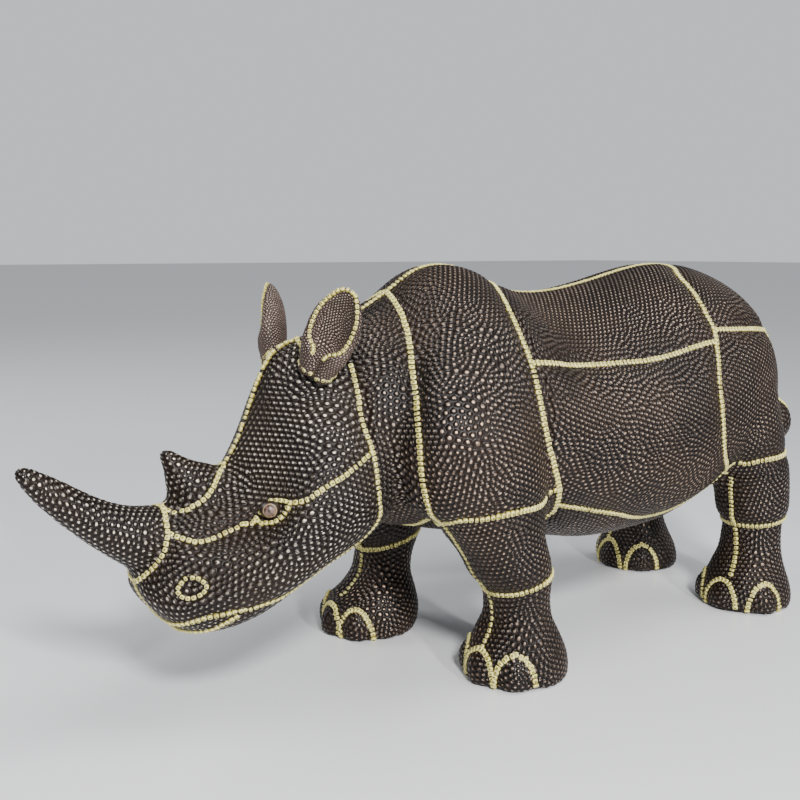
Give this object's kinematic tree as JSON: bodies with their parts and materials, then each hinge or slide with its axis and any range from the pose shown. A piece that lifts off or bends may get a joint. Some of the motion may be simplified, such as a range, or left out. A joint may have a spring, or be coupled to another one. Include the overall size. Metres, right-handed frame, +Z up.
{
  "type": "rhinoceros figurine",
  "caption": "Standing rhinoceros figurine with a pebbled dark hide divided into plates by raised seams; a free-standing shelf or desk ornament.",
  "frame": {"origin": "middle of the bounding box, on the plane of the soles", "axes": "+Z up; the rhinoceros faces -X, its left side is at -Y and its tail is at +X"},
  "size_m": [0.376, 0.121, 0.165],
  "materials": {
    "hide": "dark brown resin with a bronze dry-brush on the pebbles, semi-gloss",
    "seams": "pale antique gold paint on raised beads, semi-gloss",
    "eyes": "glossy dark brown"
  },
  "bodies": {
    "root": {"rhinoceros": "hide"}
  },
  "joints": []
}
